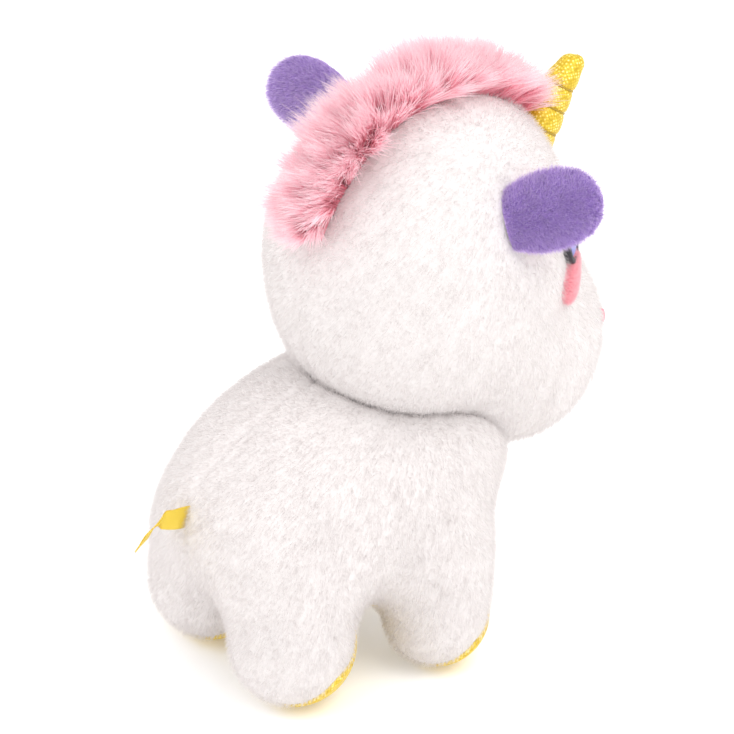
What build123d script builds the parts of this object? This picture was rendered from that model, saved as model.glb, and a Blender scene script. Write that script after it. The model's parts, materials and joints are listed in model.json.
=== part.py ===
from build123d import *
import math
import os

os.makedirs("parts", exist_ok=True)

# Plush unicorn, standing. Millimetres, +Z up. The animal faces -Y and its own
# left side is +X. The floor is z = 0 and the origin is under the middle of the
# toy's overall length, on its centre plane.

# ---- driving dimensions ------------------------------------------------------
Y0 = 18.5                                  # centre of the overall length, from mid-spine
SKIN = 1.5                                 # plush fabric with its short pile pressed flat

HEAD_C = Vector(0, Y0 - 38, 139)           # centre of the round head
HEAD_R = 56.5
MUZZLE_C = Vector(0, Y0 - 77, 97)          # centre of the snout bulge
MUZZLE_R = 36.5

SPINE_Z = 66.0                             # torso axis height at mid-spine
SPINE_TILT = 5.0                           # degrees, rising to the front
TORSO = [(-53.5, 20), (-40, 33), (-15, 40.5), (15, 41.5), (44, 36), (63, 21)]
TORSO_ENDS = (-60.0, 69.5)

FOOT_FLAT = 3.0                            # how far each foot is squashed by standing
LEG_TOP_Z = 50.0
#        name            x      y          foot r  thigh r
LEGS = [("front_left", 33.5, Y0 - 25.0, 18.8, 21.5),
        ("front_right", -33.5, Y0 - 25.0, 18.8, 21.5),
        ("hind_left", 25.4, Y0 + 31.0, 22.0, 22.6),
        ("hind_right", -25.4, Y0 + 31.0, 22.0, 22.6)]

NECK_GAP = 0.35                            # clearance on each side of the neck pad
PAD_T = 3.0                                # thickness of the neck pad
PAD_ANGLE = 36.0                           # half angle of the pad under the head
TURN = 10.0                                # head turn each way, degrees
NOD_DOWN = 5.0
NOD_UP = -6.0

HORN_TIP = Vector(0, Y0 - 103.1, 200.6)
HORN_DIR = Vector(0, -0.56, 0.8285)
HORN_L = 33.0                              # from the bending point to the tip
HORN_R = 8.5
HORN_TIP_R = 3.9
HORN_PIVOT = HORN_TIP - HORN_DIR * HORN_L

MANE_HALF_W = 9.0                          # half width of the sewn strip
MANE_PILE_HALF_W = 14.0
MANE_PILE_H = 11.0
MANE_FRONT = 52.0                          # degrees above level, in front
MANE_BACK = 159.0

EAR_L = 31.0
EAR_W = 26.0
EAR_BASE_W = 20.0
EAR_T = 3.0
EAR_STAND = 1.9                            # hinge line above the head


def unit(x, y, z):
    return Vector(x, y, z).normalized()


def turned(turn, nod):
    """Centre of the snout with the head turned and nodded, in degrees."""
    r = MUZZLE_C - HEAD_C
    n, t = math.radians(nod), math.radians(turn)
    y, z = r.Y * math.cos(n) - r.Z * math.sin(n), r.Y * math.sin(n) + r.Z * math.cos(n)
    return HEAD_C + Vector(r.X * math.cos(t) - y * math.sin(t), r.X * math.sin(t) + y * math.cos(t), z)


def sector(r0, r1, angle):
    """A cup under the head: part of a spherical shell, round the vertical axis."""
    a = math.radians(angle)
    with BuildPart() as cup:
        with BuildSketch(Plane(origin=HEAD_C, x_dir=(1, 0, 0), z_dir=(0, -1, 0))):
            with BuildLine():
                Line((0, -r0), (0, -r1))
                ThreePointArc((0, -r1), (r1 * math.sin(a / 2), -r1 * math.cos(a / 2)), (r1 * math.sin(a), -r1 * math.cos(a)))
                Line((r1 * math.sin(a), -r1 * math.cos(a)), (r0 * math.sin(a), -r0 * math.cos(a)))
                ThreePointArc((r0 * math.sin(a), -r0 * math.cos(a)), (r0 * math.sin(a / 2), -r0 * math.cos(a / 2)), (0, -r0))
            make_face()
        revolve(axis=Axis(HEAD_C, (0, 0, 1)))
    return cup.part


# ---- torso with four legs, as an outer and an inner form -----------------------
spine_dir = Vector(0, -math.cos(math.radians(SPINE_TILT)), math.sin(math.radians(SPINE_TILT)))
spine_plane = Plane(origin=(0, Y0, SPINE_Z), x_dir=spine_dir, z_dir=(1, 0, 0))
spine_axis = Axis((0, Y0, SPINE_Z), spine_dir)


def torso_form(d):
    ku, kv = 1 - d / 65.0, 1 - d / 41.0
    with BuildPart() as form:
        with BuildSketch(spine_plane):
            with BuildLine():
                pts = [(TORSO_ENDS[0] * ku, 0)] + [(u * ku, v * kv) for u, v in TORSO] + [(TORSO_ENDS[1] * ku, 0)]
                Spline(*pts, tangents=[(0, 1), (0, -1)])
                Line(pts[-1], pts[0])
            make_face()
        revolve(axis=spine_axis)
        for _, x, y, r, t in LEGS:
            zc, rr = r - FOOT_FLAT, r - d
            rf = math.sqrt(rr * rr - (zc - d) ** 2)
            a = (math.atan2(d - zc, rf)) / 2
            with BuildSketch(Plane(origin=(x, y, 0), x_dir=(1, 0, 0), z_dir=(0, -1, 0))):
                with BuildLine():
                    Polyline((0, LEG_TOP_Z), (0, d), (rf, d))
                    ThreePointArc((rf, d), (rr * math.cos(a), zc + rr * math.sin(a)), (rr, zc))
                    Polyline((rr, zc), (t - d, LEG_TOP_Z), (0, LEG_TOP_Z))
                make_face()
            revolve(axis=Axis((x, y, 0), (0, 0, 1)))
        # seat for the round head, for the neck pad and for the chin as it moves
        with Locations(HEAD_C):
            Sphere(HEAD_R + 0.4 + d, mode=Mode.SUBTRACT)
        add(neck_pocket[d], mode=Mode.SUBTRACT)
        for turn in (-TURN, 0, TURN):
            for nod in (0, NOD_DOWN):
                with Locations(turned(turn, nod)):
                    Sphere(MUZZLE_R + 0.5 + d, mode=Mode.SUBTRACT)
    return form.part


neck_pocket = {0.0: sector(HEAD_R - 4, HEAD_R + NECK_GAP * 2 + PAD_T, PAD_ANGLE + 0.6),
               SKIN: sector(HEAD_R - 4, HEAD_R + NECK_GAP * 2 + PAD_T + SKIN, PAD_ANGLE + 2.2)}
torso_outer = torso_form(0.0)
torso_inner = torso_form(SKIN)

# gold hoof panel: front and sole of each foot, bounded by a sloping seam
hoof_regions = {}
for name, x, y, r, t in LEGS:
    with BuildPart() as region:
        with BuildSketch(Plane(origin=(x, y, r - FOOT_FLAT), x_dir=(0, 1, 0), z_dir=(1, 0, 0))):
            with BuildLine():
                Polyline((-7, 0), (13, -r), (13, -r - 6), (-r - 6, -r - 6), (-r - 6, 2), (-9, 2), (-7, 0))
            make_face()
        extrude(amount=r + 1, both=True)
    hoof_regions[name] = region.part

for name, x, y, r, t in LEGS:
    with BuildPart() as toe_cap:
        add(torso_outer)
        add(torso_inner, mode=Mode.SUBTRACT)
        add(hoof_regions[name], mode=Mode.INTERSECT)
        with Locations(((1 if x > 0 else -1) * (abs(x) + 40), y, 0)):
            Box(80 + 2 * abs(x) - 0.4, 90, 120, mode=Mode.INTERSECT)
    toe_cap.part.label = "toe_cap_" + name
    export_step(toe_cap.part, "parts/toe_cap_%s.step" % name)

with BuildPart() as belly_region:
    with Locations((0, Y0 + 2, 32)):
        Box(21, 96, 36)

with BuildPart() as belly_gusset:
    add(torso_outer)
    add(torso_inner, mode=Mode.SUBTRACT)
    add(belly_region.part, mode=Mode.INTERSECT)
    for name in hoof_regions:
        add(hoof_regions[name], mode=Mode.SUBTRACT)
belly_gusset.part.label = "belly_gusset"
export_step(belly_gusset.part, "parts/belly_gusset.step")

for side, sx in (("left", 1), ("right", -1)):
    with BuildPart() as body_panel:
        add(torso_outer)
        with Locations((sx * 100, 0, 100)):
            Box(200, 400, 400, mode=Mode.INTERSECT)
        add(belly_region.part, mode=Mode.SUBTRACT)
        for name in hoof_regions:
            if name.endswith(side):
                add(hoof_regions[name], mode=Mode.SUBTRACT)
        add(torso_inner, mode=Mode.SUBTRACT)
    body_panel.part.label = "body_panel_" + side
    export_step(body_panel.part, "parts/body_panel_%s.step" % side)

with BuildPart() as body_stuffing:
    add(torso_inner)
body_stuffing.part.label = "body_stuffing"
export_step(body_stuffing.part, "parts/body_stuffing.step")

# ---- neck pad: wadding that fills the neck opening between body and head -------
pad_blank = sector(HEAD_R + NECK_GAP, HEAD_R + NECK_GAP + PAD_T, PAD_ANGLE)
with BuildPart() as neck_pad:
    add(pad_blank)
    for nod in (NOD_UP, 0, NOD_DOWN):
        with Locations(turned(0, nod)):
            Sphere(MUZZLE_R + 0.5, mode=Mode.SUBTRACT)
neck_pad.part.label = "neck_pad"
export_step(neck_pad.part, "parts/neck_pad.step")

# ---- head ----------------------------------------------------------------------
def head_form(d):
    with BuildPart() as form:
        with Locations(HEAD_C):
            Sphere(HEAD_R - d)
        with Locations(MUZZLE_C):
            Sphere(MUZZLE_R - d)
        with Locations(HORN_PIVOT):
            Sphere(HORN_R + 0.4, mode=Mode.SUBTRACT)
    return form.part


head_outer = head_form(0.0)
head_inner = head_form(SKIN)

with BuildPart() as muzzle_region:
    with Locations((0, Y0 - 75 - 30, 60)):
        Box(120, 60, 130)

with BuildPart() as muzzle_panel:
    add(head_outer)
    add(head_inner, mode=Mode.SUBTRACT)
    add(muzzle_region.part, mode=Mode.INTERSECT)
muzzle_panel.part.label = "muzzle_panel"
export_step(muzzle_panel.part, "parts/muzzle_panel.step")

for side, sx in (("left", 1), ("right", -1)):
    with BuildPart() as head_panel:
        add(head_outer)
        add(head_inner, mode=Mode.SUBTRACT)
        with Locations((sx * 100, 0, 100)):
            Box(200, 400, 400, mode=Mode.INTERSECT)
        add(muzzle_region.part, mode=Mode.SUBTRACT)
    head_panel.part.label = "head_panel_" + side
    export_step(head_panel.part, "parts/head_panel_%s.step" % side)

with BuildPart() as head_stuffing:
    add(head_inner)
head_stuffing.part.label = "head_stuffing"
export_step(head_stuffing.part, "parts/head_stuffing.step")

# ---- mane: backing strip and long pile, from behind the horn to the nape --------
def mane_layer(r0, r1, half_w, a0, a1):
    with BuildPart() as layer:
        with Locations(HEAD_C):
            Sphere(r1)
            Sphere(r0, mode=Mode.SUBTRACT)
        reach = r1 * 1.6
        mid = (a0 + a1) / 2
        with BuildSketch(Plane(origin=HEAD_C, x_dir=(0, -1, 0), z_dir=(-1, 0, 0))):
            with BuildLine():
                Polyline((0, 0),
                         *[(reach * math.cos(math.radians(a)), reach * math.sin(math.radians(a))) for a in (a0, mid, a1)],
                         (0, 0))
            make_face()
        extrude(amount=half_w, both=True, mode=Mode.INTERSECT)
    return layer.part


with BuildPart() as mane_backing:
    add(mane_layer(HEAD_R, HEAD_R + 1.0, MANE_HALF_W, MANE_FRONT, MANE_BACK))
mane_backing.part.label = "mane_backing"
export_step(mane_backing.part, "parts/mane_backing.step")

with BuildPart() as mane_pile:
    add(mane_layer(HEAD_R + 1.0, HEAD_R + 1.0 + MANE_PILE_H, MANE_PILE_HALF_W, MANE_FRONT, MANE_BACK))
mane_pile.part.label = "mane_pile"
export_step(mane_pile.part, "parts/mane_pile.step")


# ---- face: embroidered eyes, cheeks, nostrils and mouth, laid on the skin -------
def patch(centre, radius, direction, thick, a, b, hole=0.0):
    """Oval thread patch on a round surface; a is across, b is up."""
    side = Vector(0, 0, 1).cross(direction).normalized()
    with BuildPart() as laid:
        with BuildSketch(Plane(origin=centre + direction * (radius * 0.6), x_dir=side, z_dir=direction)):
            Ellipse(a, b)
            if hole:
                Ellipse(a - hole, b - hole, mode=Mode.SUBTRACT)
        extrude(amount=radius * 0.6)
        with Locations(centre):
            Sphere(radius + thick, mode=Mode.INTERSECT)
            Sphere(radius, mode=Mode.SUBTRACT)
    return laid.part


for side, sx in (("left", 1), ("right", -1)):
    eye_dir = unit(sx * 0.816, -0.509, 0.28)
    with BuildPart() as eye_outline:
        add(patch(HEAD_C, HEAD_R, eye_dir, 0.8, 8.6, 10.6, 1.8))
    eye_outline.part.label = "eye_outline_" + side
    export_step(eye_outline.part, "parts/eye_outline_%s.step" % side)
    with BuildPart() as eye_iris:
        add(patch(HEAD_C, HEAD_R, eye_dir, 0.7, 6.7, 8.7))
    eye_iris.part.label = "eye_iris_" + side
    export_step(eye_iris.part, "parts/eye_iris_%s.step" % side)
    cheek_dir = unit(sx * 0.86, -0.50, -0.10)
    with BuildPart() as cheek:
        add(patch(HEAD_C, HEAD_R, cheek_dir, 1.6, 8.0, 9.5))
    cheek.part.label = "cheek_" + side
    export_step(cheek.part, "parts/cheek_%s.step" % side)
    with BuildPart() as nostril:
        add(patch(MUZZLE_C, MUZZLE_R, unit(sx * 0.30, -0.90, 0.30), 0.6, 1.8, 2.6))
    nostril.part.label = "nostril_" + side
    export_step(nostril.part, "parts/nostril_%s.step" % side)

mouth_dir = unit(0, -1, -0.02)
with BuildPart() as mouth_stitch:
    with BuildSketch(Plane(origin=MUZZLE_C + mouth_dir * (MUZZLE_R * 0.6), x_dir=(1, 0, 0), z_dir=mouth_dir)):
        Circle(8.6)
        Circle(7.6, mode=Mode.SUBTRACT)
        with Locations((0, 8)):
            Rectangle(30, 18, mode=Mode.SUBTRACT)
    extrude(amount=MUZZLE_R * 0.6)
    with Locations(MUZZLE_C):
        Sphere(MUZZLE_R + 0.6, mode=Mode.INTERSECT)
        Sphere(MUZZLE_R, mode=Mode.SUBTRACT)
mouth_stitch.part.label = "mouth_stitch"
export_step(mouth_stitch.part, "parts/mouth_stitch.step")

# ---- horn: knitted cover over its own stuffing, drawn in by wound thread --------
horn_plane = Plane(origin=HORN_PIVOT, x_dir=(1, 0, 0), z_dir=HORN_DIR)
horn_sketch = Plane(origin=HORN_PIVOT, x_dir=(1, 0, 0), z_dir=Vector(1, 0, 0).cross(HORN_DIR))


def horn_form(d):
    ax = Vector(1, 0, 0)
    up = horn_sketch.y_dir.dot(HORN_DIR)
    s = 1 if up > 0 else -1
    r, rt, top = HORN_R - d, HORN_TIP_R - d, HORN_L - HORN_TIP_R
    with BuildPart() as form:
        with BuildSketch(horn_sketch):
            with BuildLine():
                ThreePointArc((0, -s * r), (r * math.sin(math.pi / 4), -s * r * math.cos(math.pi / 4)), (r, 0))
                Line((r, 0), (rt, s * top))
                ThreePointArc((rt, s * top), (rt * math.sin(math.pi / 4), s * (top + rt * math.cos(math.pi / 4))), (0, s * (top + rt)))
                Line((0, s * (top + rt)), (0, -s * r))
            make_face()
        revolve(axis=Axis(HORN_PIVOT, HORN_DIR))
    return form.part


wraps = []
for h in (4.5, 12.5, 20.5):
    r = HORN_R + (HORN_TIP_R - HORN_R) * h / (HORN_L - HORN_TIP_R)
    wraps.append((h, r - 0.35))
with BuildPart() as horn_wrap_rings:
    for h, r in wraps:
        with Locations(Plane(origin=HORN_PIVOT + HORN_DIR * h, x_dir=(1, 0, 0), z_dir=HORN_DIR)):
            Torus(r, 0.45)

with BuildPart() as horn_cover:
    add(horn_form(0.0))
    add(horn_form(0.9), mode=Mode.SUBTRACT)
    add(horn_wrap_rings.part, mode=Mode.SUBTRACT)
horn_cover.part.label = "horn_cover"
export_step(horn_cover.part, "parts/horn_cover.step")

with BuildPart() as horn_stuffing:
    add(horn_form(0.9))
    add(horn_wrap_rings.part, mode=Mode.SUBTRACT)
horn_stuffing.part.label = "horn_stuffing"
export_step(horn_stuffing.part, "parts/horn_stuffing.step")

for i, (h, r) in enumerate(wraps):
    with BuildPart() as horn_wrap:
        with Locations(Plane(origin=HORN_PIVOT + HORN_DIR * h, x_dir=(1, 0, 0), z_dir=HORN_DIR)):
            Torus(r, 0.45)
    horn_wrap.part.label = "horn_wrap_%d" % (i + 1)
    export_step(horn_wrap.part, "parts/horn_wrap_%d.step" % (i + 1))

# ---- ears: plush back and smooth liner, each ear held at rest as it is sewn ------
EARS = {"left": (unit(48.0, -3.0, 33.8), unit(0.80, 0.42, 0.43)),
        "right": (unit(-48.0, -3.0, 33.8), unit(-0.70, -0.60, 0.385))}
for side, (normal, along) in EARS.items():
    sx = 1 if side == "left" else -1
    across = Vector(sx * 0.56, 0.12, -0.82)
    across = (across - along * across.dot(along)).normalized()
    origin = HEAD_C + normal * (HEAD_R + EAR_STAND)
    back = across.cross(along)
    if back.Y < 0:
        back = back * -1
    ear_plane = Plane(origin=origin, x_dir=across, z_dir=back)
    s = 1 if ear_plane.y_dir.dot(along) > 0 else -1
    w, b, l = EAR_W / 2, EAR_BASE_W / 2, EAR_L
    for layer, low, high in (("ear_back", 0.0, EAR_T / 2), ("ear_liner", -EAR_T / 2, 0.0)):
        with BuildPart() as ear:
            with BuildSketch(ear_plane.offset(low)):
                with BuildLine():
                    Spline((b, 0), (w, s * l * 0.42), (w * 0.72, s * l * 0.82), (0, s * l),
                           (-w * 0.72, s * l * 0.82), (-w, s * l * 0.42), (-b, 0))
                    Line((-b, 0), (b, 0))
                make_face()
            extrude(amount=high - low)
        ear.part.label = "%s_%s" % (layer, side)
        export_step(ear.part, "parts/%s_%s.step" % (layer, side))

# ---- tail: a short folded ribbon caught in the back seam -------------------------
TAIL_ROOT = (Y0 + 61.0, 68.0)
tail_path = [TAIL_ROOT, (Y0 + 67.4, 73.8), (Y0 + 76.5, 64.6)]
with BuildPart() as tail_ribbon:
    with BuildSketch(Plane.YZ.offset(-3.8)):
        with BuildLine():
            Polyline(*tail_path)
            offset(amount=0.5, kind=Kind.ARC, side=Side.BOTH)
        make_face()
    extrude(amount=7.6)
tail_ribbon.part.label = "tail_ribbon"
export_step(tail_ribbon.part, "parts/tail_ribbon.step")
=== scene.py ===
import bmesh
import bpy
import json
import math
import numpy as np
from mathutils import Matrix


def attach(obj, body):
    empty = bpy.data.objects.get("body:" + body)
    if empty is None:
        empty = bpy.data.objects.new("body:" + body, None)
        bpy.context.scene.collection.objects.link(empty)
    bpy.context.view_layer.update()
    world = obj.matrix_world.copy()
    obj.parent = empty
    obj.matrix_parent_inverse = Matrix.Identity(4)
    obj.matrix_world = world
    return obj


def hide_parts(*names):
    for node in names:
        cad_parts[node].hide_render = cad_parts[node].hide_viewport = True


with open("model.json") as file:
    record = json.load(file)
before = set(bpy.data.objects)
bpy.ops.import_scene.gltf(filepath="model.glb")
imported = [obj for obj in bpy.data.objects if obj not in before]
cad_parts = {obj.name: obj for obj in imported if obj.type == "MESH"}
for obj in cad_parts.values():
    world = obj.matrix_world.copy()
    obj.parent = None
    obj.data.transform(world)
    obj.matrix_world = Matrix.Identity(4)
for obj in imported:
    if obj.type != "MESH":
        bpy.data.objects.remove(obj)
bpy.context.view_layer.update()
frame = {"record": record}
import openvdb
from mathutils import Matrix, Vector

rng = np.random.default_rng(11)
joints = {j["name"]: j for j in frame["record"]["behaviour"]["joints"]}
HEAD = np.array(joints["neck_turn"]["pos_m"]) * 1000.0
HORN = np.array(joints["horn_bend"]["pos_m"]) * 1000.0
Y0 = HEAD[1] + 38.0                       # mid-spine, mm

# ============================ forms, in mm ====================================
def P(f, r, z):
    return np.array([-r, Y0 - f, z], float)


def rotx(deg):
    a = np.radians(deg)
    c, s = np.cos(a), np.sin(a)
    return np.array([[1, 0, 0], [0, c, -s], [0, s, c]])


def ell(p, c, r, pitch=0.0):
    q = p - c
    if pitch:
        q = q @ rotx(pitch)
    r = np.array(r, float)
    k0 = np.linalg.norm(q / r, axis=1)
    k1 = np.linalg.norm(q / (r * r), axis=1)
    return k0 * (k0 - 1) / np.maximum(k1, 1e-9)


def cone(p, a, b, ra, rb):
    ba = b - a
    l2 = ba @ ba
    rr = ra - rb
    a2 = l2 - rr * rr
    il2 = 1 / l2
    pa = p - a
    y = pa @ ba
    z = y - l2
    x2 = ((pa * l2 - np.outer(y, ba)) ** 2).sum(1)
    y2 = y * y * l2
    z2 = z * z * l2
    k = np.sign(rr) * rr * rr * x2
    d = (np.sqrt(x2 * a2 * il2) + y * rr) * il2 - ra
    d1 = np.sqrt(x2 + z2) * il2 - rb
    d2 = np.sqrt(x2 + y2) * il2 - ra
    return np.where(np.sign(z) * a2 * z2 > k, d1, np.where(np.sign(y) * a2 * y2 < k, d2, d))


def smin(a, b, k):
    h = np.maximum(k - np.abs(a - b), 0) / k
    return np.minimum(a, b) - h * h * k * 0.25


def smax(a, b, k):
    return -smin(-a, -b, k)


def lump(p, size, seed):
    """Smooth low noise, about -1 to 1."""
    g = np.random.default_rng(seed)
    out = np.zeros(len(p))
    for _ in range(9):
        k = g.normal(size=3)
        k *= (2 * np.pi / size) * g.uniform(0.6, 1.3) / np.linalg.norm(k)
        out += np.sin(p @ k + g.uniform(0, 6.28))
    return out / 3.6


PILE = 1.1                                # how far the short pile stands out from the cloth


def head_sdf(p):
    d = smin(ell(p, P(38.0, 0, 143.7), (55.2, 50.05, 60.1), 22.5),
             ell(p, P(75.8, 0, 99.5), (36.4, 37.8, 39.4), 22.5), 27.3)
    return d + 0.45 * lump(p, 46, 3) + PILE


FEET = {"front_right": (24.8, 33.9, 18.8, 22.4), "front_left": (24.8, -33.9, 18.8, 22.4),
        "hind_right": (-29.4, 25.5, 22.1, 22.7), "hind_left": (-29.4, -25.5, 22.1, 22.7)}


def body_sdf(p):
    d = smin(ell(p, P(-9.0, 0, 61.0), (43.5, 51.0, 32.5)), ell(p, P(20.5, 0, 69.9), (42.9, 50.1, 39.5)), 30)
    for f, r, rf, rt in FEET.values():
        d = smin(d, cone(p, P(f, r * 0.9, 42.2), P(f, r, rf), rt, rf), 14)
    d = smax(d + 0.5 * lump(p, 38, 5) + PILE, 0.5 - p[:, 2], 4)
    # the head presses into the top of the body
    return smax(d, -(head_sdf(p) + 0.0), 3.0)


def gradient(f, p, h=0.15):
    e = np.eye(3) * h
    g = np.stack([f(p + e[i]) - f(p - e[i]) for i in range(3)], 1)
    return g / np.maximum(np.linalg.norm(g, axis=1, keepdims=True), 1e-9)


def surface(f, lo, hi, voxel):
    lo, hi = np.array(lo, float), np.array(hi, float)
    n = np.ceil((hi - lo) / voxel).astype(int) + 1
    ax = [lo[i] + np.arange(n[i]) * voxel for i in range(3)]
    vol = np.empty(n, np.float32)
    for i, x in enumerate(ax[0]):
        yy, zz = np.meshgrid(ax[1], ax[2], indexing="ij")
        pts = np.stack([np.full(yy.size, x), yy.ravel(), zz.ravel()], 1)
        vol[i] = f(pts).reshape(yy.shape)
    grid = openvdb.FloatGrid(background=5.0)
    grid.copyFromArray(np.clip(vol, -5, 5))
    v, q = grid.convertToQuads(isovalue=0.0)
    v = lo + np.asarray(v, float) * voxel
    for _ in range(3):
        v = v - gradient(f, v) * f(v)[:, None] * 0.8
    return v, np.asarray(q)


def make(name, v_mm, faces, mats, smooth=True, attrs=None):
    me = bpy.data.meshes.new(name)
    v = np.asarray(v_mm, np.float32) * 0.001
    faces = np.asarray(faces, np.int32)
    k = faces.shape[1]
    me.vertices.add(len(v))
    me.vertices.foreach_set("co", v.ravel())
    me.loops.add(faces.size)
    me.loops.foreach_set("vertex_index", faces.ravel())
    me.polygons.add(len(faces))
    me.polygons.foreach_set("loop_start", np.arange(len(faces), dtype=np.int32) * k)
    me.polygons.foreach_set("use_smooth", np.full(len(faces), smooth))
    me.update(calc_edges=True)
    me.validate()
    for a, vals in (attrs or {}).items():
        at = me.attributes.new(a, "FLOAT", "POINT")
        at.data.foreach_set("value", np.asarray(vals, np.float32))
    for m in (mats if isinstance(mats, (list, tuple)) else [mats]):
        me.materials.append(m)
    ob = bpy.data.objects.new(name, me)
    bpy.context.scene.collection.objects.link(ob)
    return ob


def outward(v, q, f):
    """Quads with their faces turned outward, by the form's gradient."""
    a, b, c = v[q[:, 0]], v[q[:, 1]], v[q[:, 2]]
    n = np.cross(b - a, c - a)
    g = gradient(f, v[q].mean(1))
    flip = (n * g).sum(1) < 0
    q = q.copy()
    q[flip] = q[flip][:, ::-1]
    return q


def scatter(v, q, count, keep=None):
    """Random points on quads, by area."""
    tri = np.concatenate([q[:, [0, 1, 2]], q[:, [0, 2, 3]]])
    a, b, c = v[tri[:, 0]], v[tri[:, 1]], v[tri[:, 2]]
    area = np.linalg.norm(np.cross(b - a, c - a), axis=1)
    if keep is not None:
        area = area * keep((a + b + c) / 3)
    t = rng.choice(len(tri), count, p=area / area.sum())
    r1, r2 = np.sqrt(rng.random(count))[:, None], rng.random(count)[:, None]
    return a[t] * (1 - r1) + b[t] * r1 * (1 - r2) + c[t] * r1 * r2


def strands(name, root, d, length, width, bend, mat, rows=3):
    """Tapered fibres as thin ribbons: rows quads each."""
    n = len(root)
    d = d / np.linalg.norm(d, axis=1, keepdims=True)
    side = np.cross(d, rng.normal(size=(n, 3)))
    side /= np.linalg.norm(side, axis=1, keepdims=True)
    length = np.broadcast_to(np.asarray(length, float), (n,))
    width = np.broadcast_to(np.asarray(width, float), (n,))
    verts, tt = [], []
    for i in range(rows + 1):
        t = i / rows
        c = root + d * (length * t)[:, None] + bend * (length * t * t)[:, None]
        w = side * (width * 0.5 * (1 - t) ** 0.6 + 0.01)[:, None]
        verts += [c - w, c + w]
        tt += [np.full(n, t)] * 2
    v = np.stack(verts, 1).reshape(-1, 3)
    t = np.stack(tt, 1).reshape(-1)
    rnd = np.repeat(rng.random(n), 2 * (rows + 1))
    base = np.arange(n)[:, None] * 2 * (rows + 1)
    f = np.concatenate([base + np.array([[2 * i, 2 * i + 1, 2 * i + 3, 2 * i + 2]]) for i in range(rows)])
    return make(name, v, f, mat, True, {"tone": t, "rnd": rnd})


# ============================ materials =======================================
def nt(name):
    m = bpy.data.materials.new(name)
    m.use_nodes = True
    t = m.node_tree
    b = t.nodes["Principled BSDF"]
    return m, t, b


def node(t, kind, **inp):
    n = t.nodes.new(kind)
    for k, v in inp.items():
        n.inputs[k.replace("_", " ")].default_value = v
    return n


def ramp(t, fac, stops):
    r = t.nodes.new("ShaderNodeValToRGB")
    e = r.color_ramp.elements
    e[0].position, e[0].color = stops[0][0], (*stops[0][1], 1)
    e[1].position, e[1].color = stops[-1][0], (*stops[-1][1], 1)
    for pos, col in stops[1:-1]:
        x = e.new(pos)
        x.color = (*col, 1)
    t.links.new(fac, r.inputs["Fac"])
    return r


def lin(r, g, b):
    return tuple(((c / 255) / 12.92 if c <= 10 else ((c / 255 + 0.055) / 1.055) ** 2.4) for c in (r, g, b))


def pile(name, dark, light, scale=900.0, bump=0.35, sheen=0.3, tint=(1, 1, 1)):
    """Short pile fabric: fine fibre noise over slow patches of brushed direction."""
    m, t, b = nt(name)
    tc = t.nodes.new("ShaderNodeTexCoord")
    fine = node(t, "ShaderNodeTexNoise", Scale=scale, Detail=3.0, Roughness=0.6)
    slow = node(t, "ShaderNodeTexNoise", Scale=scale / 18, Detail=4.0, Roughness=0.65)
    for x in (fine, slow):
        t.links.new(tc.outputs["Object"], x.inputs["Vector"])
    mixf = t.nodes.new("ShaderNodeMath")
    mixf.operation = "MULTIPLY_ADD"
    mixf.inputs[1].default_value = 0.55
    t.links.new(fine.outputs["Fac"], mixf.inputs[0])
    half = t.nodes.new("ShaderNodeMath")
    half.operation = "MULTIPLY"
    half.inputs[1].default_value = 0.45
    t.links.new(slow.outputs["Fac"], half.inputs[0])
    t.links.new(half.outputs[0], mixf.inputs[2])
    r = ramp(t, mixf.outputs[0], [(0.33, dark), (0.62, light)])
    t.links.new(r.outputs["Color"], b.inputs["Base Color"])
    b.inputs["Roughness"].default_value = 0.95
    b.inputs["Specular IOR Level"].default_value = 0.15
    b.inputs["Sheen Weight"].default_value = sheen
    b.inputs["Sheen Roughness"].default_value = 0.5
    b.inputs["Sheen Tint"].default_value = (*tint, 1)
    bp = node(t, "ShaderNodeBump", Strength=bump, Distance=0.0006)
    t.links.new(mixf.outputs[0], bp.inputs["Height"])
    t.links.new(bp.outputs["Normal"], b.inputs["Normal"])
    return m


def fibre(name, root, tip, vary=0.12, through=0.4, rough=0.7):
    """Single fibres: colour runs from a darker root to a paler tip, which is painted shade down among the fibres, and
    differs from strand to strand.
    """
    m, t, b = nt(name)
    a = t.nodes.new("ShaderNodeAttribute")
    a.attribute_name = "tone"
    # darker at the root, paler at the tip: painted shade where the fibres crowd together
    r = ramp(t, a.outputs["Fac"], [(0.0, root), (0.55, tuple((x + y) / 2 for x, y in zip(root, tip))), (1.0, tip)])
    a2 = t.nodes.new("ShaderNodeAttribute")
    a2.attribute_name = "rnd"
    hsv = t.nodes.new("ShaderNodeHueSaturation")
    mr = node(t, "ShaderNodeMapRange")
    mr.inputs["To Min"].default_value = 1 - vary
    mr.inputs["To Max"].default_value = 1 + vary
    t.links.new(a2.outputs["Fac"], mr.inputs["Value"])
    t.links.new(mr.outputs["Result"], hsv.inputs["Value"])
    t.links.new(r.outputs["Color"], hsv.inputs["Color"])
    t.links.new(hsv.outputs["Color"], b.inputs["Base Color"])
    b.inputs["Roughness"].default_value = rough
    b.inputs["Specular IOR Level"].default_value = 0.25
    tr = t.nodes.new("ShaderNodeBsdfTranslucent")
    t.links.new(hsv.outputs["Color"], tr.inputs["Color"])
    mx = t.nodes.new("ShaderNodeMixShader")
    mx.inputs[0].default_value = through
    out = [n for n in t.nodes if n.type == "OUTPUT_MATERIAL"][0]
    t.links.new(b.outputs[0], mx.inputs[1])
    t.links.new(tr.outputs[0], mx.inputs[2])
    t.links.new(mx.outputs[0], out.inputs["Surface"])
    return m


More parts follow.
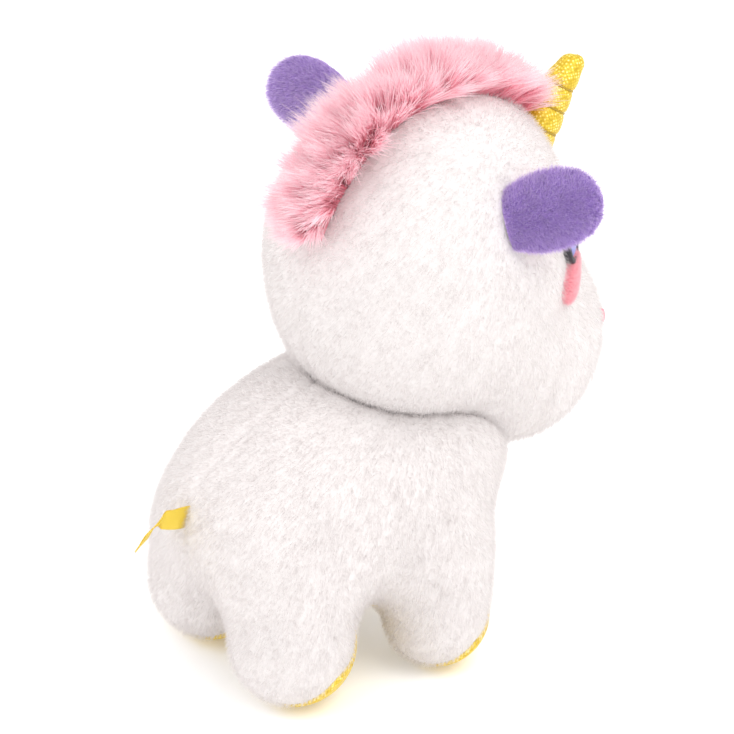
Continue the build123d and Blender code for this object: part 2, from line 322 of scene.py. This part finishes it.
def glitter(name, base, dark, pale, scale, metal=0.35, rough=0.42):
    """Metallic knit: a lattice of pale loops in a darker ground."""
    m, t, b = nt(name)
    tc = t.nodes.new("ShaderNodeTexCoord")
    vor = node(t, "ShaderNodeTexVoronoi", Scale=scale, Randomness=0.35)
    fine = node(t, "ShaderNodeTexNoise", Scale=scale * 2.5, Detail=2.0)
    for x in (vor, fine):
        t.links.new(tc.outputs["Object"], x.inputs["Vector"])
    r = ramp(t, vor.outputs["Distance"], [(0.12, pale), (0.30, base), (0.62, dark)])
    mul = t.nodes.new("ShaderNodeMix")
    mul.data_type = "RGBA"
    mul.blend_type = "OVERLAY"
    mul.inputs["Factor"].default_value = 0.5
    t.links.new(r.outputs["Color"], mul.inputs["A"])
    t.links.new(fine.outputs["Fac"], mul.inputs["B"])
    t.links.new(mul.outputs["Result"], b.inputs["Base Color"])
    b.inputs["Metallic"].default_value = metal
    b.inputs["Roughness"].default_value = rough
    bp = node(t, "ShaderNodeBump", Strength=0.5, Distance=0.0004)
    bp.invert = True
    t.links.new(vor.outputs["Distance"], bp.inputs["Height"])
    t.links.new(bp.outputs["Normal"], b.inputs["Normal"])
    return m


def thread(name, dark, light, scale=1400.0):
    """Satin stitch: fine parallel threads with a soft shine."""
    m, t, b = nt(name)
    tc = t.nodes.new("ShaderNodeTexCoord")
    w = node(t, "ShaderNodeTexWave", Scale=scale, Distortion=1.5, Detail=1.0)
    w.bands_direction = "Z"
    t.links.new(tc.outputs["Object"], w.inputs["Vector"])
    r = ramp(t, w.outputs["Fac"], [(0.2, dark), (0.8, light)])
    t.links.new(r.outputs["Color"], b.inputs["Base Color"])
    b.inputs["Roughness"].default_value = 0.45
    bp = node(t, "ShaderNodeBump", Strength=0.5, Distance=0.0003)
    t.links.new(w.outputs["Fac"], bp.inputs["Height"])
    t.links.new(bp.outputs["Normal"], b.inputs["Normal"])
    return m


WHITE = pile("white_plush", (0.72, 0.685, 0.68), (0.80, 0.762, 0.756), bump=0.3)
# every fibre colour below runs from a darker root to a paler tip: painted shade among the fibres
WHITE_FIBRE = fibre("white_fibre", (0.80, 0.768, 0.763), (0.85, 0.822, 0.817), 0.02, 0.5)
PURPLE = pile("purple_plush", lin(178, 144, 214), lin(218, 194, 240), 1100, 0.7, 0.2)
PURPLE_FIBRE = fibre("purple_fibre", lin(196, 168, 226), lin(238, 224, 248), 0.14, 0.6)
PINK_BASE = pile("pink_backing", lin(254, 178, 193), lin(255, 200, 211), 900)
PINK_FIBRE = fibre("pink_fibre", lin(255, 202, 214), lin(255, 243, 246), 0.06, 0.72)
CHEEK = pile("cheek_plush", lin(250, 170, 182), lin(255, 205, 212), 1000, 0.8)
CHEEK_FIBRE = fibre("cheek_fibre", lin(250, 178, 190), lin(255, 215, 220), 0.08, 0.4)
GOLD = glitter("gold_knit", lin(240, 210, 66), lin(204, 170, 30), lin(255, 246, 180), 950, 0.25)
GOLD_THREAD = thread("gold_thread", lin(150, 118, 20), lin(214, 180, 60))
RIBBON = glitter("gold_ribbon", lin(238, 204, 52), lin(206, 165, 20), lin(252, 240, 160), 1300, 0.25, 0.4)
RIBBON_BACK = thread("ribbon_back", lin(236, 198, 40), lin(250, 222, 90), 2200)
LINER = glitter("pink_foil_fabric", lin(245, 178, 200), lin(238, 150, 180), lin(255, 240, 250), 750, 0.3, 0.3)
BLACK = thread("black_thread", (0.006, 0.006, 0.010), (0.03, 0.03, 0.04))
BLUE = thread("blue_thread", lin(110, 120, 200), lin(172, 170, 236))
GLINT = thread("white_thread", (0.75, 0.75, 0.76), (0.92, 0.92, 0.93))
PINK_THREAD = thread("pink_thread", lin(225, 130, 150), lin(245, 160, 176))
FILL = pile("polyester_fill", (0.75, 0.75, 0.74), (0.92, 0.92, 0.91), 250, 0.8, 0.1)

# ============================ head and body skins =============================
VOX = 1.1


def grooves(v, n, lines):
    """Sewn seams: the fabric dips along each line."""
    for dist, mask, depth, wide in lines:
        v = v - n * (depth * mask * np.exp(-(dist / wide) ** 2))[:, None]
    return v


def ease(x, a, b):
    t = np.clip((x - a) / (b - a), 0, 1)
    return t * t * (3 - 2 * t)


hv, hq = surface(head_sdf, (-64, Y0 - 122, 55), (64, Y0 + 26, 210), VOX)
hq = outward(hv, hq, head_sdf)
hn = gradient(head_sdf, hv)
muz = (hv[:, 1] - (Y0 - 78)) + 0.18 * (hv[:, 2] - 95) - 0.010 * hv[:, 0] ** 2 * 0.4
hv2 = grooves(hv, hn, [
    (hv[:, 0] + 0.5, ease(hv[:, 1], Y0 - 60, Y0 - 40), 1.3, 1.5),
    (muz, ease(-hv[:, 2], -128, -118), 0.8, 1.2)])
# small gathers above the neck
ang = np.arctan2(hv[:, 0], hv[:, 1] - (Y0 - 38))
hv2 += hn * (0.22 * np.sin(ang * 26 + 3 * np.sin(ang * 5)) * ease(-hv[:, 2], -112, -92))[:, None]
head_skin = make("head_skin", hv2, hq, WHITE)
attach(head_skin, "head")
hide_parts("head_panel_left", "head_panel_right", "muzzle_panel", "head_stuffing")

bv, bq = surface(body_sdf, (-64, Y0 - 80, -3), (64, Y0 + 68, 118), VOX)
bq = outward(bv, bq, body_sdf)
bn = gradient(body_sdf, bv)
spine = ease(bv[:, 1], Y0 - 10, Y0 + 4) * ease(bv[:, 2], 34, 44)
tail_d = np.linalg.norm(bv - np.array([0, Y0 + 57, 63]), axis=1)
pucker = np.exp(-(tail_d / 13) ** 2)
stitch = 0.6 + 0.4 * np.cos(bv[:, 2] * 2 * np.pi / 3.4)
bv2 = grooves(bv, bn, [
    (bv[:, 0] - 1.5 * np.sin(bv[:, 2] / 11), spine, 1.3, 1.5),
    (bv[:, 0], ease(bv[:, 2], 44, 48) * ease(-bv[:, 2], -66, -62) * (bv[:, 1] > Y0) * stitch, 1.3, 1.3)])
fan = np.arctan2(bv[:, 2] - 60, bv[:, 0])
bv2 += bn * (0.35 * pucker * np.sin(fan * 13))[:, None]
hd = head_sdf(bv)
bang = np.arctan2(bv[:, 0], bv[:, 1] - (Y0 - 38))
bv2 += bn * (0.35 * np.exp(-((hd - 4) / 5) ** 2) * np.sin(bang * 30 + 2 * np.sin(bang * 7)))[:, None]
bv2[:, 2] = np.maximum(bv2[:, 2], 0.15)
body_skin = make("body_skin", bv2, bq, WHITE)
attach(body_skin, "torso")
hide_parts("body_panel_left", "body_panel_right", "belly_gusset", "body_stuffing")

# neck filling, hidden between them
nf = lambda p: smax(ell(p, P(30, 0, 88), (24, 22, 9)), -(head_sdf(p) - 1.0), 2.0) if False else ell(p, P(22, 0, 86), (22, 20, 8)) + 0.5 * lump(p, 14, 9)
nv, nq = surface(nf, (-30, Y0 - 50, 72), (30, Y0 + 6, 100), 2.0)
neck_fill = make("neck_fill", nv, outward(nv, nq, nf), FILL)
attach(neck_fill, "neck")
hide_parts("neck_pad")

# short pile on the white plush
def pile_fur(name, v, q, f, count, body, flow, keep=None, mat=WHITE_FIBRE, length=(1.8, 2.8), width=0.16):
    root = scatter(v, q, count, keep)
    n = gradient(f, root)
    fl = np.array(flow, float)
    tang = fl - n * (n @ fl)[:, None]
    d = n + tang * 0.7 + rng.normal(size=n.shape) * 0.28
    ob = strands(name, root - n * 0.2, d, rng.uniform(*length, count), width, tang * 0.3, mat, 1)
    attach(ob, body)
    return ob


FUR = 95000
def not_under(c):
    ok = (head_sdf(c) > 0.8) & (c[:, 2] > 1.5)
    for f, r, rf, rt in FEET.values():
        q = c - P(f, r, rf - 3.0)
        in_hoof = (np.abs(q[:, 0]) < rf + 6) & (np.abs(q[:, 1]) < rf + 10) & (c[:, 2] < 30) & ((q[:, 1] + 5.8 + 0.95 * q[:, 2]) < 0.8) & (q[:, 2] - 3.5 + 0.012 * q[:, 0] ** 2 + np.minimum(0, q[:, 1] + rf * 0.55) * 0.5 < 0.6)
        ok &= ~in_hoof
    seam = np.exp(-((c[:, 0] - 1.5 * np.sin(c[:, 2] / 11)) / 0.9) ** 2) * (c[:, 1] > Y0)
    return ok * (1.0 - 0.85 * seam)


f1 = pile_fur("body_pile", bv2, bq, body_sdf, FUR, "torso", (0, 0.5, -0.8), not_under)
sparse = lambda c: 1.0 - 0.85 * np.exp(-((c[:, 0] + 0.5) / 0.9) ** 2) * (c[:, 1] > Y0 - 45)
f2 = pile_fur("head_pile", hv2, hq, head_sdf, FUR, "head", (0, 0.6, -0.6), sparse)

# ============================ hooves ==========================================
for key, (f, r, rf, rt) in FEET.items():
    c = P(f, r, rf - 3.0)
    rel = bv - c
    near = (np.abs(rel[:, 0]) < rf + 6) & (np.abs(rel[:, 1]) < rf + 10) & (bv[:, 2] < 30) & (np.sign(bv[:, 0]) == np.sign(c[0]))
    plane_n = np.array([0.0, 1.0, 0.95]) / math.hypot(1, 0.95)
    # the seam slopes over the side of the foot and levels off across its front
    def seam_side(p):
        q = p - c
        return smax((q - np.array([0, -5.8, 0])) @ plane_n,
                    (q[:, 2] - 3.5 + 0.012 * q[:, 0] ** 2) * 0.9 + np.minimum(0, q[:, 1] + rf * 0.55) * 0.45, 3.0)

    s = seam_side(bv)
    keepf = near[bq].all(1) & (s[bq].min(1) < 0.0)
    used = np.unique(bq[keepf])
    remap = -np.ones(len(bv), int)
    remap[used] = np.arange(len(used))
    fq = remap[bq[keepf]]
    v0 = bv[used].copy()
    for _ in range(4):                             # edge vertices slide onto the seam line
        g = np.stack([seam_side(v0 + e_) - seam_side(v0 - e_) for e_ in np.eye(3) * 0.1], 1) / 0.2
        nb = gradient(body_sdf, v0)
        g = g - nb * (g * nb).sum(1, keepdims=True)
        sv_ = seam_side(v0)
        v0 = v0 - g * (np.maximum(sv_, 0) / np.maximum((g * g).sum(1), 0.05))[:, None]
        v0 = v0 - nb * body_sdf(v0)[:, None]
    s0 = seam_side(v0)
    # cloth with a turned edge, level with the pile beside it
    lift = 1.0 * ease(-s0, -0.1, 1.6) + 0.10
    v1 = v0 + gradient(body_sdf, v0) * lift[:, None]
    v1[:, 2] = np.maximum(v1[:, 2], 0.02)
    toe = make("toe_" + key, v1, fq, GOLD)
    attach(toe, "torso")
    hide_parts("toe_cap_" + key)

# ============================ mane ============================================
H0 = P(38, 0, 143.7)


def on_form(f, direction, origin, start=90.0):
    """Where rays from outside meet a form."""
    d = direction / np.linalg.norm(direction, axis=1, keepdims=True)
    t = np.full(len(d), start)
    for _ in range(60):
        t = t - f(origin + d * t[:, None]) * 0.8
    return origin + d * t[:, None]


def strip_dirs(count, half, a0, a1):
    a = np.radians(rng.uniform(a0, a1, count))
    x = rng.uniform(-half, half, count)
    return np.stack([np.zeros(count), -np.cos(a), np.sin(a)], 1), x


rows, cols = 90, 11
ga = np.radians(np.linspace(47, 159, rows))
gx = np.linspace(-8.5, 8.5, cols)
A, X = np.meshgrid(ga, gx, indexing="ij")
dirs = np.stack([X.ravel() / 58, -np.cos(A.ravel()), np.sin(A.ravel())], 1)
pv = on_form(head_sdf, dirs, H0)
pv += gradient(head_sdf, pv) * 0.5
idx = np.arange(rows * cols).reshape(rows, cols)
pq = np.stack([idx[:-1, :-1].ravel(), idx[1:, :-1].ravel(), idx[1:, 1:].ravel(), idx[:-1, 1:].ravel()], 1)
mane_base = make("mane_base", pv, outward(pv, pq, head_sdf), PINK_BASE)
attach(mane_base, "head")
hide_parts("mane_backing")

N = 24000
a = np.radians(rng.uniform(45, 160, N))
x = rng.uniform(-1, 1, N)
half = 8.5 * np.clip(np.minimum((np.degrees(a) - 44) / 14, (162 - np.degrees(a)) / 14), 0.35, 1)
dirs = np.stack([x * half / 58, -np.cos(a), np.sin(a)], 1)
root = on_form(head_sdf, dirs, H0)
n = gradient(head_sdf, root)
# tufts: strands lean together
cell = np.round(np.stack([a * 58 / 4.5, x * half / 4.0], 1)).astype(int)
key = (cell[:, 0] * 7919 + cell[:, 1] * 104729) % 4096
tuft = np.random.default_rng(5).normal(size=(4096, 3)) * 0.20
tlen = np.random.default_rng(6).uniform(0.86, 1.12, 4096)
back = np.stack([np.zeros(N), np.sin(a), np.cos(a)], 1) * (1 - 2.6 * np.clip((75 - np.degrees(a)) / 30, 0, 1))[:, None] * -1
sidev = np.array([1.0, 0, 0])
d = n + sidev * (0.55 * x + 0.10)[:, None] + back * 0.10 + tuft[key] + rng.normal(size=(N, 3)) * 0.12
fall = np.array([0, 0, -0.16]) + sidev * (0.12 * x)[:, None]
L = rng.uniform(13.5, 20.0, N) * (0.55 + 0.45 * np.minimum(1, np.minimum((np.degrees(a) - 24) / 24, (170 - np.degrees(a)) / 22)))
L = L * tlen[key] * np.where(rng.random(N) < 0.06, 1.18, 1.0)
mane = strands("mane_hair", root, d, L, 0.30, fall, PINK_FIBRE, 4)
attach(mane, "head")
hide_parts("mane_pile")


# ============================ face ============================================
def oval(name, direction, rx, rz, f, centre, lift, mat, hole=0.0, grow=0.0, tilt=0.0):
    """Stitched oval that follows the skin, with a rounded edge."""
    d0 = np.array(direction, float)
    d0 /= np.linalg.norm(d0)
    e1 = np.cross([0, 0, 1.0], d0)
    e1 /= np.linalg.norm(e1)
    e2 = np.cross(d0, e1)
    c, s = math.cos(tilt), math.sin(tilt)
    e1, e2 = e1 * c + e2 * s, e2 * c - e1 * s
    rr = np.linspace(hole, 1, 9 if hole else 14)
    th = np.linspace(0, 2 * np.pi, 72, endpoint=False)
    R, T = np.meshgrid(rr, th, indexing="ij")
    mid = centre + d0 * 55
    flat = mid + e1 * (R * np.cos(T) * rx).reshape(-1, 1) + e2 * (R * np.sin(T) * rz).reshape(-1, 1)
    p = flat + d0 * 30
    for _ in range(60):
        p = p - d0 * (f(p) * 0.8)[:, None]
    n = gradient(f, p)
    u = (R.ravel() - hole) / (1 - hole)
    prof = np.sqrt(np.clip(1 - np.abs(2 * u - 1) ** 4, 0, 1)) if hole else np.sqrt(np.clip(1 - u ** 5, 0, 1))
    p = p + n * (lift * prof + 0.05)[:, None]
    k, m = R.shape
    idx = np.arange(k * m).reshape(k, m)
    nx = np.roll(idx, -1, 1)
    q = np.stack([idx[:-1].ravel(), nx[:-1].ravel(), nx[1:].ravel(), idx[1:].ravel()], 1)
    ob = make(name, p, outward(p, q, f), mat)
    bm = bmesh.new()
    bm.from_mesh(ob.data)
    bmesh.ops.remove_doubles(bm, verts=bm.verts, dist=2e-5)
    bm.to_mesh(ob.data)
    bm.free()
    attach(ob, "head")
    return ob, p, q


for side, sx in (("left", 1), ("right", -1)):
    ed = (sx * 0.765, -0.59, 0.26)
    o, _, _ = oval("eye_iris_piece_" + side, ed, 7.2, 9.2, head_sdf, H0, 2.3, BLUE)
    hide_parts("eye_iris_" + side)
    o, _, _ = oval("eye_outline_piece_" + side, ed, 8.8, 10.8, head_sdf, H0, 2.6, BLACK, hole=0.78)
    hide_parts("eye_outline_" + side)
    o, _, _ = oval("eye_pupil_" + side, ed, 4.4, 5.8, head_sdf, H0, 2.75, BLACK)
    ed2 = np.array(ed) + np.array([sx * -0.035, -0.03, 0.055])
    o, _, _ = oval("eye_light_" + side, ed2, 1.5, 1.9, head_sdf, H0, 3.1, GLINT)
    o, cp, cq = oval("cheek_piece_" + side, (sx * 0.778, -0.63, -0.055), 7.6, 9.8, head_sdf, H0, 2.2, CHEEK)
    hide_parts("cheek_" + side)
    root = scatter(cp, cq, 5000)
    cn = gradient(head_sdf, root)
    o = strands("cheek_pile_" + side, root, cn + rng.normal(size=cn.shape) * 0.35, 1.8, 0.16, cn * 0, CHEEK_FIBRE, 1)
    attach(o, "head")
    o, _, _ = oval("nostril_piece_" + side, (sx * 0.19, -0.92, -0.52), 1.9, 2.6, head_sdf, H0, 2.2, PINK_THREAD)
    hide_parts("nostril_" + side)

mt = np.linspace(math.radians(205), math.radians(335), 40)
mr_ = np.linspace(7.8, 8.8, 4)
MT, MR = np.meshgrid(mt, mr_, indexing="ij")
mp = np.stack([(MR * np.cos(MT)).ravel(), np.full(MT.size, Y0 - 150), (97 + MR * np.sin(MT)).ravel()], 1)
for _ in range(80):
    mp = mp + np.array([0, 1.0, 0]) * (head_sdf(mp) * 0.8)[:, None]
prof = np.array([0.1, 1, 1, 0.1])[None, :].repeat(40, 0).ravel()
mp = mp + gradient(head_sdf, mp) * (2.2 * prof)[:, None]
mi = np.arange(160).reshape(40, 4)
mq = np.stack([mi[:-1, :-1].ravel(), mi[1:, :-1].ravel(), mi[1:, 1:].ravel(), mi[:-1, 1:].ravel()], 1)
mouth = make("mouth_piece", mp, outward(mp, mq, head_sdf), BLACK)
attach(mouth, "head")
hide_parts("mouth_stitch")

# ============================ horn ============================================
hdir = np.array([0, -0.56, 0.8285])
hdir /= np.linalg.norm(hdir)
hx = np.array([1.0, 0, 0])
hy = np.cross(hdir, hx)
nh, na = 150, 64
hs = np.linspace(-7.5, 33.0, nh)
prof_r = np.interp(hs, [-7.5, 0, 8, 29.2], [9.4, 9.0, 8.0, 4.4])
tipz = np.clip((hs - 28.9) / 4.1, 0, 1)
prof_r = prof_r * np.sqrt(np.clip(1 - tipz ** 2, 0, 1)) + 0.01
for h in (4.5, 12.5, 20.5):
    prof_r -= 0.60 * np.exp(-((hs - h) / 0.8) ** 2)
    prof_r += 0.30 * np.exp(-((hs - h - 3.6) / 2.4) ** 2)
th = np.linspace(0, 2 * np.pi, na, endpoint=False)
S, T = np.meshgrid(hs, th, indexing="ij")
tw = 0.35 * np.sin(T + 0.8)                     # the wraps sit slightly askew
Rr = np.interp((S + tw).ravel(), hs, prof_r).reshape(S.shape)
curve = 0.0018 * (S - 0) ** 2
hp = (HORN + hdir * S.reshape(-1, 1) + hx * (Rr * np.cos(T)).reshape(-1, 1)
      + hy * (Rr * np.sin(T) + curve * -1).reshape(-1, 1))
hi_ = np.arange(nh * na).reshape(nh, na)
hnx = np.roll(hi_, -1, 1)
hqq = np.stack([hi_[:-1].ravel(), hnx[:-1].ravel(), hnx[1:].ravel(), hi_[1:].ravel()], 1)
horn = make("horn_cover_piece", hp, hqq, GOLD)
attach(horn, "horn")
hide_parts("horn_cover", "horn_stuffing")
for i, h in enumerate((4.5, 12.5, 20.5)):
    r0 = np.interp(h, hs, prof_r) + 0.12
    m_, k_ = 90, 8
    U, V = np.meshgrid(np.linspace(0, 2 * np.pi, m_, endpoint=False), np.linspace(0, 2 * np.pi, k_, endpoint=False), indexing="ij")
    rad = r0 + 0.35 * np.cos(V)
    tp = (HORN + hdir * (h + 0.35 * np.sin(V) + 0.35 * np.sin(U + 0.8) * -1).reshape(-1, 1)
          + hx * (rad * np.cos(U)).reshape(-1, 1) + hy * (rad * np.sin(U) - 0.0018 * h * h).reshape(-1, 1))
    ii = np.arange(m_ * k_).reshape(m_, k_)
    a1, a2 = np.roll(ii, -1, 0), np.roll(ii, -1, 1)
    tq = np.stack([ii.ravel(), a1.ravel(), np.roll(a1, -1, 1).ravel(), a2.ravel()], 1)
    ring = make("horn_wrap_piece_%d" % (i + 1), tp, tq, GOLD_THREAD)
    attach(ring, "horn")
    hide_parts("horn_wrap_%d" % (i + 1))

# ============================ ears ============================================
EARS = {"left": ((48.0, -3.0, 33.8), (0.80, 0.42, 0.43)), "right": ((-48.0, -3.0, 33.8), (-0.70, -0.60, 0.385))}
for side, (nn, along) in EARS.items():
    sx = 1 if side == "left" else -1
    o = np.array(joints["ear_%s_flap" % side]["pos_m"]) * 1000
    across = np.array(joints["ear_%s_flap" % side]["axis"], float)
    across /= np.linalg.norm(across)
    al = np.array(along) / np.linalg.norm(along)
    al = al - across * (al @ across)
    al /= np.linalg.norm(al)
    bk = np.cross(across, al)
    if bk[1] < 0:
        bk = -bk
    ns, nw = 44, 30
    sv = np.linspace(0, 1, ns)
    wprof = 13.0 * np.interp(sv, [0, .06, .2, .42, .62, .8, .9, .96, 1], [.74, .80, .93, 1.0, .97, .82, .62, .40, .02])
    S, W = np.meshgrid(sv, np.linspace(-1, 1, nw), indexing="ij")
    length = 31.5
    edge = np.sqrt(np.clip(1 - np.abs(W) ** 3.2, 0, 1)) * np.sqrt(np.clip(1 - S ** 8, 0, 1))
    cupv = 1.6 * W ** 2 * (1 - S * 0.6)
    for layer, sign, thick, mat, nodes_, sl in (("ear_back", 1, 2.4, PURPLE, "ear_back_", "purple_plush"), ("ear_liner", -1, 1.0, LINER, "ear_liner_", "pink_foil_fabric")):
        shrink = 1.0 if sign > 0 else 0.90
        tw_ = (math.radians(36) if side == "left" else math.radians(-6)) * S ** 0.8
        acr = (across[None, None, :] * np.cos(tw_)[:, :, None] + bk[None, None, :] * np.sin(tw_)[:, :, None]).reshape(-1, 3)
        bks = (bk[None, None, :] * np.cos(tw_)[:, :, None] - across[None, None, :] * np.sin(tw_)[:, :, None]).reshape(-1, 3)
        z = sign * thick * edge - cupv + (0.15 if sign > 0 else 0.0)
        p = (o + al * (S * (length + 1.8) * (1 if sign > 0 else 0.96) - 3.0).reshape(-1, 1) + acr * (W * np.interp(S, sv, wprof) * shrink).reshape(-1, 1)
             + bks * z.reshape(-1, 1))
        if sign > 0:
            # close the rim round to the liner side
            z2 = -0.9 * edge - cupv
            p2 = (o + al * (S * (length + 1.8) - 3.0).reshape(-1, 1) + acr * (W * np.interp(S, sv, wprof)).reshape(-1, 1) + bks * z2.reshape(-1, 1))
        idx = np.arange(ns * nw).reshape(ns, nw)
        q = np.stack([idx[:-1, :-1].ravel(), idx[1:, :-1].ravel(), idx[1:, 1:].ravel(), idx[:-1, 1:].ravel()], 1)
        nrm = np.cross(p[q[:, 1]] - p[q[:, 0]], p[q[:, 3]] - p[q[:, 0]])
        if (nrm @ bk).sum() * sign < 0:
            q = q[:, ::-1]
        if sign > 0:
            allp = np.concatenate([p, p2])
            allq = np.concatenate([q, q[:, ::-1] + len(p)])
        else:
            allp, allq = p - bks * 0.35, q
        ob = make(layer + "_piece_" + side, allp, allq, mat)
        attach(ob, "ear_" + side)
        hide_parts(nodes_ + side)
        if sign > 0:
            cnt = 15000
            root = scatter(p, q, cnt)
            relw = ((root - o) @ across) / 13.0
            dd = bk + al * 0.45 + across * (relw * 1.1)[:, None] + rng.normal(size=root.shape) * 0.33
            fz = strands("ear_pile_" + side, root, dd, rng.uniform(1.6, 2.6, cnt), 0.17, al * 0.2 + np.zeros_like(root), PURPLE_FIBRE, 1)
            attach(fz, "ear_" + side)

# ============================ tail ribbon =====================================
TR = np.array(joints["tail_swing"]["pos_m"]) * 1000
# centre line, width direction: comes straight out of the seam, folds over, hangs down edge-on
ctr = np.array([[0, -6.5, 0.2], [0, -1.5, 0.8], [0, 1.5, 1.4], [0, 4.2, 2.2], [0.2, 5.6, 2.0], [0.5, 7.6, 0.4], [0.7, 10.2, -2.2], [0.8, 12.8, -4.8], [0.9, 15.2, -7.2]], float)
wid = np.array([[0, -0.30, 0.95], [0, -0.30, 0.95], [-0.05, -0.30, 0.95], [-0.25, -0.15, 0.93], [-0.6, 0.15, 0.75], [-0.68, 0.38, 0.60], [-0.68, 0.48, 0.55], [-0.66, 0.50, 0.56], [-0.66, 0.50, 0.56]], float)
kk = np.linspace(0, len(ctr) - 1, 70)
C = np.stack([np.interp(kk, range(len(ctr)), ctr[:, i]) for i in range(3)], 1)
for _ in range(3):
    C[1:-1] = (C[:-2] + 2 * C[1:-1] + C[2:]) / 4
Wd = np.stack([np.interp(kk, range(len(wid)), wid[:, i]) for i in range(3)], 1)
Wd /= np.linalg.norm(Wd, axis=1, keepdims=True)
tg = np.gradient(C, axis=0)
tg /= np.linalg.norm(tg, axis=1, keepdims=True)
nr = np.cross(tg, Wd)
nr /= np.linalg.norm(nr, axis=1, keepdims=True)
wv = np.linspace(-1, 1, 17)
endr = np.sqrt(np.clip(1 - np.clip((kk - (len(ctr) - 1.7)) / 0.7, 0, 1) ** 2.4, 0.02, 1))
faces_all, verts_all = [], []
for s_, off in ((1, 0.22), (-1, -0.22)):
    p = TR + C[:, None, :] + Wd[:, None, :] * (wv[None, :, None] * 3.9 * endr[:, None, None]) + nr[:, None, :] * off
    p += nr[:, None, :] * (0.25 * np.sin(kk * 2.3)[:, None, None] * wv[None, :, None])
    verts_all.append(p.reshape(-1, 3))
ti = np.arange(70 * 17).reshape(70, 17)
q1 = np.stack([ti[:-1, :-1].ravel(), ti[1:, :-1].ravel(), ti[1:, 1:].ravel(), ti[:-1, 1:].ravel()], 1)
n0 = len(verts_all[0])
rim = []
for e in (0, 16):
    rim += [[ti[i, e], ti[i + 1, e], ti[i + 1, e] + n0, ti[i, e] + n0] for i in range(69)]
rim += [[ti[69, j], ti[69, j + 1], ti[69, j + 1] + n0, ti[69, j] + n0] for j in range(16)]
tq = np.concatenate([q1, q1[:, ::-1] + n0, np.array(rim)])
tail = make("tail_ribbon_piece", np.concatenate(verts_all), tq, [RIBBON, RIBBON_BACK])
mi_ = np.zeros(len(tq), np.int32)
mi_[len(q1):2 * len(q1)] = 1
tail.data.polygons.foreach_set("material_index", mi_)
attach(tail, "tail")
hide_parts("tail_ribbon")

# ============================ stage, light, camera ============================
fm, ft, fb = nt("floor_paper")
ftc = ft.nodes.new("ShaderNodeTexCoord")
fn_ = node(ft, "ShaderNodeTexNoise", Scale=60.0, Detail=4.0)
ft.links.new(ftc.outputs["Object"], fn_.inputs["Vector"])
fr = ramp(ft, fn_.outputs["Fac"], [(0.3, (0.955, 0.955, 0.955)), (0.7, (0.965, 0.965, 0.965))])
ft.links.new(fr.outputs["Color"], fb.inputs["Base Color"])
fb.inputs["Roughness"].default_value = 0.9
fb.inputs["Emission Color"].default_value = (1, 1, 1, 1)
fb.inputs["Emission Strength"].default_value = 0.16
fb.inputs["Specular IOR Level"].default_value = 0.1
floor = make("floor", np.array([[-4000, -4000, 0], [4000, -4000, 0], [4000, 4000, 0], [-4000, 4000, 0]], float), np.array([[0, 1, 2, 3]]), fm, False)

world = bpy.data.worlds.new("soft_white")
world.use_nodes = True
bg = world.node_tree.nodes["Background"]
bg.inputs["Color"].default_value = (1.0, 0.995, 0.99, 1)
bg.inputs["Strength"].default_value = 1.04
bpy.context.scene.world = world


def area(name, loc, target, size, watts, col=(1, 1, 1)):
    l = bpy.data.lights.new(name, "AREA")
    l.shape = "DISK"
    l.size = size
    l.energy = watts
    l.color = col
    o = bpy.data.objects.new(name, l)
    o.location = loc
    o.rotation_euler = (Vector(target) - Vector(loc)).to_track_quat("-Z", "Y").to_euler()
    bpy.context.scene.collection.objects.link(o)


area("key", (-0.9, -0.2, 1.5), (0, 0, 0.1), 1.1, 11.5)
area("fill", (0.5, 1.5, 1.1), (0, 0, 0.1), 1.2, 6)

cd = bpy.data.cameras.new("camera")
cam = bpy.data.objects.new("camera", cd)
bpy.context.scene.collection.objects.link(cam)
cx = Vector((-0.5908655892, -0.8064137838, 0.0239721674))
cy = Vector((0.3948821819, -0.2631666117, 0.8802337172))
cz = cx.cross(cy)
pos = Vector((-756.9775, 551.8245 + Y0, 613.3192)) * 0.001
cam.matrix_world = Matrix(((cx.x, cy.x, cz.x, pos.x), (cx.y, cy.y, cz.y, pos.y), (cx.z, cy.z, cz.z, pos.z), (0, 0, 0, 1)))
cd.sensor_width = 36.0
cd.lens = 2.9 * 1081.02 * 36.0 / 734.0
cd.clip_start = 0.05
cd.clip_end = 50
bpy.context.scene.camera = cam
bpy.context.scene.view_settings.view_transform = "Standard"
bpy.context.scene.view_settings.look = "None"
